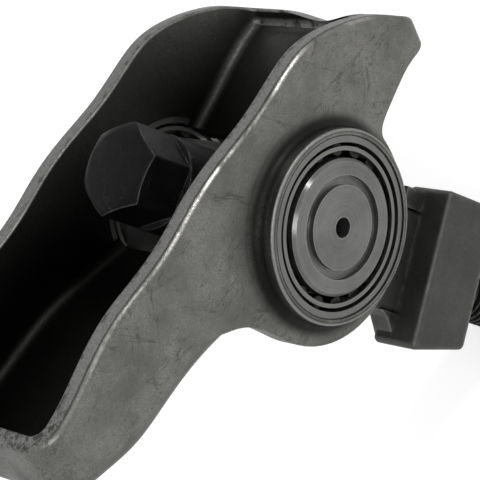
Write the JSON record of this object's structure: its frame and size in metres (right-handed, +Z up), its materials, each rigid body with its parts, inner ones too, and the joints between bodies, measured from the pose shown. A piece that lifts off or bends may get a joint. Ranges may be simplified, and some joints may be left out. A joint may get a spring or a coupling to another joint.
{
  "type": "rocker arm",
  "caption": "Stamped steel rocker arm, an open channel turning on a needle-bearing trunnion, held by a hex bolt through a cast pedestal, with pushrod cup and valve pad.",
  "frame": {"origin": "middle of the pedestal's seat on the cylinder head, on the bolt's axis", "axes": "+Z up the bolt to its head, +X towards the pushrod end, Y along the trunnion with the pedestal foot's long side at -Y"},
  "size_m": [0.0637, 0.0338, 0.09],
  "materials": {
    "arm_steel": "satin grey phosphated stamping, sheared rim brighter, faint tool marks",
    "race_steel": "ground bearing steel",
    "cage_steel": "plain pressed steel",
    "needle_steel": "polished rollers",
    "trunnion_steel": "ground and turned steel",
    "bolt_black": "black oxide",
    "pedestal_iron": "sintered iron, lightly oiled"
  },
  "bodies": {
    "stand": {"pedestal": "pedestal_iron", "trunnion_shaft": "trunnion_steel", "rocker_bolt": "bolt_black"},
    "rocker": {"rocker_body": "arm_steel", "bearing_cup_near": "race_steel", "bearing_cup_far": "race_steel"},
    "cage_near": {"bearing_cage_near": "cage_steel"},
    "roller_near_01": {"needle_near_01": "needle_steel"},
    "roller_near_02": {"needle_near_02": "needle_steel"},
    "roller_near_03": {"needle_near_03": "needle_steel"},
    "roller_near_04": {"needle_near_04": "needle_steel"},
    "roller_near_05": {"needle_near_05": "needle_steel"},
    "roller_near_06": {"needle_near_06": "needle_steel"},
    "roller_near_07": {"needle_near_07": "needle_steel"},
    "roller_near_08": {"needle_near_08": "needle_steel"},
    "roller_near_09": {"needle_near_09": "needle_steel"},
    "roller_near_10": {"needle_near_10": "needle_steel"},
    "roller_near_11": {"needle_near_11": "needle_steel"},
    "roller_near_12": {"needle_near_12": "needle_steel"},
    "roller_near_13": {"needle_near_13": "needle_steel"},
    "roller_near_14": {"needle_near_14": "needle_steel"},
    "roller_near_15": {"needle_near_15": "needle_steel"},
    "roller_near_16": {"needle_near_16": "needle_steel"},
    "roller_near_17": {"needle_near_17": "needle_steel"},
    "roller_near_18": {"needle_near_18": "needle_steel"},
    "cage_far": {"bearing_cage_far": "cage_steel"},
    "roller_far_01": {"needle_far_01": "needle_steel"},
    "roller_far_02": {"needle_far_02": "needle_steel"},
    "roller_far_03": {"needle_far_03": "needle_steel"},
    "roller_far_04": {"needle_far_04": "needle_steel"},
    "roller_far_05": {"needle_far_05": "needle_steel"},
    "roller_far_06": {"needle_far_06": "needle_steel"},
    "roller_far_07": {"needle_far_07": "needle_steel"},
    "roller_far_08": {"needle_far_08": "needle_steel"},
    "roller_far_09": {"needle_far_09": "needle_steel"},
    "roller_far_10": {"needle_far_10": "needle_steel"},
    "roller_far_11": {"needle_far_11": "needle_steel"},
    "roller_far_12": {"needle_far_12": "needle_steel"},
    "roller_far_13": {"needle_far_13": "needle_steel"},
    "roller_far_14": {"needle_far_14": "needle_steel"},
    "roller_far_15": {"needle_far_15": "needle_steel"},
    "roller_far_16": {"needle_far_16": "needle_steel"},
    "roller_far_17": {"needle_far_17": "needle_steel"},
    "roller_far_18": {"needle_far_18": "needle_steel"}
  },
  "joints": [
    {"name": "rocker_pivot", "type": "hinge", "parent": "stand", "child": "rocker", "pos_m": [0, 0, 0.0332], "axis": [0, -1, 0], "range_deg": [-11, 55]},
    {"name": "cage_near_turn", "type": "hinge", "parent": "stand", "child": "cage_near", "pos_m": [0, 0, 0.0332], "axis": [0, -1, 0], "range_deg": [-7.1, 31.3]},
    {"name": "needle_near_01_spin", "type": "hinge", "parent": "cage_near", "child": "roller_near_01", "pos_m": [0.0089, 0, 0.0332], "axis": [0, -1, 0], "range_deg": [-60.2, 281]},
    {"name": "needle_near_02_spin", "type": "hinge", "parent": "cage_near", "child": "roller_near_02", "pos_m": [0.00836, 0, 0.03624], "axis": [0, -1, 0], "range_deg": [-60.2, 281]},
    {"name": "needle_near_03_spin", "type": "hinge", "parent": "cage_near", "child": "roller_near_03", "pos_m": [0.00682, 0, 0.03892], "axis": [0, -1, 0], "range_deg": [-60.2, 281]},
    {"name": "needle_near_04_spin", "type": "hinge", "parent": "cage_near", "child": "roller_near_04", "pos_m": [0.00445, 0, 0.04091], "axis": [0, -1, 0], "range_deg": [-60.2, 281]},
    {"name": "needle_near_05_spin", "type": "hinge", "parent": "cage_near", "child": "roller_near_05", "pos_m": [0.00155, 0, 0.04196], "axis": [0, -1, 0], "range_deg": [-60.2, 281]},
    {"name": "needle_near_06_spin", "type": "hinge", "parent": "cage_near", "child": "roller_near_06", "pos_m": [-0.00155, 0, 0.04196], "axis": [0, -1, 0], "range_deg": [-60.2, 281]},
    {"name": "needle_near_07_spin", "type": "hinge", "parent": "cage_near", "child": "roller_near_07", "pos_m": [-0.00445, 0, 0.04091], "axis": [0, -1, 0], "range_deg": [-60.2, 281]},
    {"name": "needle_near_08_spin", "type": "hinge", "parent": "cage_near", "child": "roller_near_08", "pos_m": [-0.00682, 0, 0.03892], "axis": [0, -1, 0], "range_deg": [-60.2, 281]},
    {"name": "needle_near_09_spin", "type": "hinge", "parent": "cage_near", "child": "roller_near_09", "pos_m": [-0.00836, 0, 0.03624], "axis": [0, -1, 0], "range_deg": [-60.2, 281]},
    {"name": "needle_near_10_spin", "type": "hinge", "parent": "cage_near", "child": "roller_near_10", "pos_m": [-0.0089, 0, 0.0332], "axis": [0, -1, 0], "range_deg": [-60.2, 281]},
    {"name": "needle_near_11_spin", "type": "hinge", "parent": "cage_near", "child": "roller_near_11", "pos_m": [-0.00836, 0, 0.03016], "axis": [0, -1, 0], "range_deg": [-60.2, 281]},
    {"name": "needle_near_12_spin", "type": "hinge", "parent": "cage_near", "child": "roller_near_12", "pos_m": [-0.00682, 0, 0.02748], "axis": [0, -1, 0], "range_deg": [-60.2, 281]},
    {"name": "needle_near_13_spin", "type": "hinge", "parent": "cage_near", "child": "roller_near_13", "pos_m": [-0.00445, 0, 0.02549], "axis": [0, -1, 0], "range_deg": [-60.2, 281]},
    {"name": "needle_near_14_spin", "type": "hinge", "parent": "cage_near", "child": "roller_near_14", "pos_m": [-0.00155, 0, 0.02444], "axis": [0, -1, 0], "range_deg": [-60.2, 281]},
    {"name": "needle_near_15_spin", "type": "hinge", "parent": "cage_near", "child": "roller_near_15", "pos_m": [0.00155, 0, 0.02444], "axis": [0, -1, 0], "range_deg": [-60.2, 281]},
    {"name": "needle_near_16_spin", "type": "hinge", "parent": "cage_near", "child": "roller_near_16", "pos_m": [0.00445, 0, 0.02549], "axis": [0, -1, 0], "range_deg": [-60.2, 281]},
    {"name": "needle_near_17_spin", "type": "hinge", "parent": "cage_near", "child": "roller_near_17", "pos_m": [0.00682, 0, 0.02748], "axis": [0, -1, 0], "range_deg": [-60.2, 281]},
    {"name": "needle_near_18_spin", "type": "hinge", "parent": "cage_near", "child": "roller_near_18", "pos_m": [0.00836, 0, 0.03016], "axis": [0, -1, 0], "range_deg": [-60.2, 281]},
    {"name": "cage_far_turn", "type": "hinge", "parent": "stand", "child": "cage_far", "pos_m": [0, 0, 0.0332], "axis": [0, -1, 0], "range_deg": [-7.1, 31.3]},
    {"name": "needle_far_01_spin", "type": "hinge", "parent": "cage_far", "child": "roller_far_01", "pos_m": [0.0089, 0, 0.0332], "axis": [0, -1, 0], "range_deg": [-60.2, 281]},
    {"name": "needle_far_02_spin", "type": "hinge", "parent": "cage_far", "child": "roller_far_02", "pos_m": [0.00836, 0, 0.03016], "axis": [0, -1, 0], "range_deg": [-60.2, 281]},
    {"name": "needle_far_03_spin", "type": "hinge", "parent": "cage_far", "child": "roller_far_03", "pos_m": [0.00682, 0, 0.02748], "axis": [0, -1, 0], "range_deg": [-60.2, 281]},
    {"name": "needle_far_04_spin", "type": "hinge", "parent": "cage_far", "child": "roller_far_04", "pos_m": [0.00445, 0, 0.02549], "axis": [0, -1, 0], "range_deg": [-60.2, 281]},
    {"name": "needle_far_05_spin", "type": "hinge", "parent": "cage_far", "child": "roller_far_05", "pos_m": [0.00155, 0, 0.02444], "axis": [0, -1, 0], "range_deg": [-60.2, 281]},
    {"name": "needle_far_06_spin", "type": "hinge", "parent": "cage_far", "child": "roller_far_06", "pos_m": [-0.00155, 0, 0.02444], "axis": [0, -1, 0], "range_deg": [-60.2, 281]},
    {"name": "needle_far_07_spin", "type": "hinge", "parent": "cage_far", "child": "roller_far_07", "pos_m": [-0.00445, 0, 0.02549], "axis": [0, -1, 0], "range_deg": [-60.2, 281]},
    {"name": "needle_far_08_spin", "type": "hinge", "parent": "cage_far", "child": "roller_far_08", "pos_m": [-0.00682, 0, 0.02748], "axis": [0, -1, 0], "range_deg": [-60.2, 281]},
    {"name": "needle_far_09_spin", "type": "hinge", "parent": "cage_far", "child": "roller_far_09", "pos_m": [-0.00836, 0, 0.03016], "axis": [0, -1, 0], "range_deg": [-60.2, 281]},
    {"name": "needle_far_10_spin", "type": "hinge", "parent": "cage_far", "child": "roller_far_10", "pos_m": [-0.0089, 0, 0.0332], "axis": [0, -1, 0], "range_deg": [-60.2, 281]},
    {"name": "needle_far_11_spin", "type": "hinge", "parent": "cage_far", "child": "roller_far_11", "pos_m": [-0.00836, 0, 0.03624], "axis": [0, -1, 0], "range_deg": [-60.2, 281]},
    {"name": "needle_far_12_spin", "type": "hinge", "parent": "cage_far", "child": "roller_far_12", "pos_m": [-0.00682, 0, 0.03892], "axis": [0, -1, 0], "range_deg": [-60.2, 281]},
    {"name": "needle_far_13_spin", "type": "hinge", "parent": "cage_far", "child": "roller_far_13", "pos_m": [-0.00445, 0, 0.04091], "axis": [0, -1, 0], "range_deg": [-60.2, 281]},
    {"name": "needle_far_14_spin", "type": "hinge", "parent": "cage_far", "child": "roller_far_14", "pos_m": [-0.00155, 0, 0.04196], "axis": [0, -1, 0], "range_deg": [-60.2, 281]},
    {"name": "needle_far_15_spin", "type": "hinge", "parent": "cage_far", "child": "roller_far_15", "pos_m": [0.00155, 0, 0.04196], "axis": [0, -1, 0], "range_deg": [-60.2, 281]},
    {"name": "needle_far_16_spin", "type": "hinge", "parent": "cage_far", "child": "roller_far_16", "pos_m": [0.00445, 0, 0.04091], "axis": [0, -1, 0], "range_deg": [-60.2, 281]},
    {"name": "needle_far_17_spin", "type": "hinge", "parent": "cage_far", "child": "roller_far_17", "pos_m": [0.00682, 0, 0.03892], "axis": [0, -1, 0], "range_deg": [-60.2, 281]},
    {"name": "needle_far_18_spin", "type": "hinge", "parent": "cage_far", "child": "roller_far_18", "pos_m": [0.00836, 0, 0.03624], "axis": [0, -1, 0], "range_deg": [-60.2, 281]}
  ],
  "couplings": [
    {"joint": "cage_near_turn", "follows": "rocker_pivot", "ratio": 0.5506},
    {"joint": "needle_near_01_spin", "follows": "rocker_pivot", "ratio": 5.018},
    {"joint": "needle_near_02_spin", "follows": "rocker_pivot", "ratio": 5.018},
    {"joint": "needle_near_03_spin", "follows": "rocker_pivot", "ratio": 5.018},
    {"joint": "needle_near_04_spin", "follows": "rocker_pivot", "ratio": 5.018},
    {"joint": "needle_near_05_spin", "follows": "rocker_pivot", "ratio": 5.018},
    {"joint": "needle_near_06_spin", "follows": "rocker_pivot", "ratio": 5.018},
    {"joint": "needle_near_07_spin", "follows": "rocker_pivot", "ratio": 5.018},
    {"joint": "needle_near_08_spin", "follows": "rocker_pivot", "ratio": 5.018},
    {"joint": "needle_near_09_spin", "follows": "rocker_pivot", "ratio": 5.018},
    {"joint": "needle_near_10_spin", "follows": "rocker_pivot", "ratio": 5.018},
    {"joint": "needle_near_11_spin", "follows": "rocker_pivot", "ratio": 5.018},
    {"joint": "needle_near_12_spin", "follows": "rocker_pivot", "ratio": 5.018},
    {"joint": "needle_near_13_spin", "follows": "rocker_pivot", "ratio": 5.018},
    {"joint": "needle_near_14_spin", "follows": "rocker_pivot", "ratio": 5.018},
    {"joint": "needle_near_15_spin", "follows": "rocker_pivot", "ratio": 5.018},
    {"joint": "needle_near_16_spin", "follows": "rocker_pivot", "ratio": 5.018},
    {"joint": "needle_near_17_spin", "follows": "rocker_pivot", "ratio": 5.018},
    {"joint": "needle_near_18_spin", "follows": "rocker_pivot", "ratio": 5.018},
    {"joint": "cage_far_turn", "follows": "rocker_pivot", "ratio": 0.5506},
    {"joint": "needle_far_01_spin", "follows": "rocker_pivot", "ratio": 5.018},
    {"joint": "needle_far_02_spin", "follows": "rocker_pivot", "ratio": 5.018},
    {"joint": "needle_far_03_spin", "follows": "rocker_pivot", "ratio": 5.018},
    {"joint": "needle_far_04_spin", "follows": "rocker_pivot", "ratio": 5.018},
    {"joint": "needle_far_05_spin", "follows": "rocker_pivot", "ratio": 5.018},
    {"joint": "needle_far_06_spin", "follows": "rocker_pivot", "ratio": 5.018},
    {"joint": "needle_far_07_spin", "follows": "rocker_pivot", "ratio": 5.018},
    {"joint": "needle_far_08_spin", "follows": "rocker_pivot", "ratio": 5.018},
    {"joint": "needle_far_09_spin", "follows": "rocker_pivot", "ratio": 5.018},
    {"joint": "needle_far_10_spin", "follows": "rocker_pivot", "ratio": 5.018},
    {"joint": "needle_far_11_spin", "follows": "rocker_pivot", "ratio": 5.018},
    {"joint": "needle_far_12_spin", "follows": "rocker_pivot", "ratio": 5.018},
    {"joint": "needle_far_13_spin", "follows": "rocker_pivot", "ratio": 5.018},
    {"joint": "needle_far_14_spin", "follows": "rocker_pivot", "ratio": 5.018},
    {"joint": "needle_far_15_spin", "follows": "rocker_pivot", "ratio": 5.018},
    {"joint": "needle_far_16_spin", "follows": "rocker_pivot", "ratio": 5.018},
    {"joint": "needle_far_17_spin", "follows": "rocker_pivot", "ratio": 5.018},
    {"joint": "needle_far_18_spin", "follows": "rocker_pivot", "ratio": 5.018}
  ]
}
